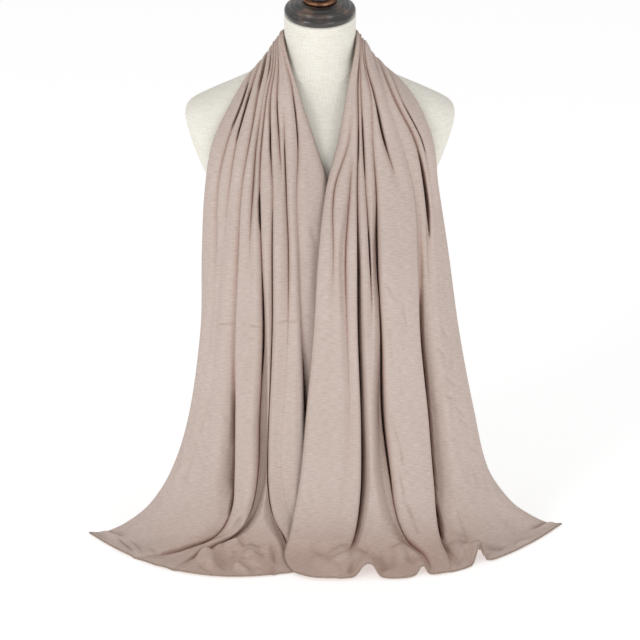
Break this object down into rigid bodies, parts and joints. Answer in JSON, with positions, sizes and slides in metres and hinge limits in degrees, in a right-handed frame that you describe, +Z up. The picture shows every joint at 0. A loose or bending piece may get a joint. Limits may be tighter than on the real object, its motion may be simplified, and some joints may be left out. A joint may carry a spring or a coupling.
{
  "type": "hijab headscarf on a limbless dress form",
  "caption": "Plain jersey hijab headscarf hung round the neck of a limbless dress form, both gathered ends falling down the front and fanned on the floor.",
  "frame": {"origin": "centre of the dress form's flat base, on the floor", "axes": "+Z up, the front with the two falling ends faces -Y, +X to the right of someone who faces it"},
  "size_m": [0.7071, 0.3447, 0.8414],
  "materials": {
    "jersey": "matt plain-knit cotton and viscose jersey in dusty taupe",
    "linen": "matt off-white linen cover of the form",
    "lacquered_wood": "glossy black-brown lacquer, rubbed brown on the edges",
    "bronze": "aged bronze, satin"
  },
  "bodies": {
    "root": {"form_body": "linen", "neck_cap": "lacquered_wood", "cap_ring": "bronze", "cap_knob": "lacquered_wood", "scarf_left_fall": "jersey", "scarf_nape": "jersey", "scarf_right_fall": "jersey"}
  },
  "joints": []
}
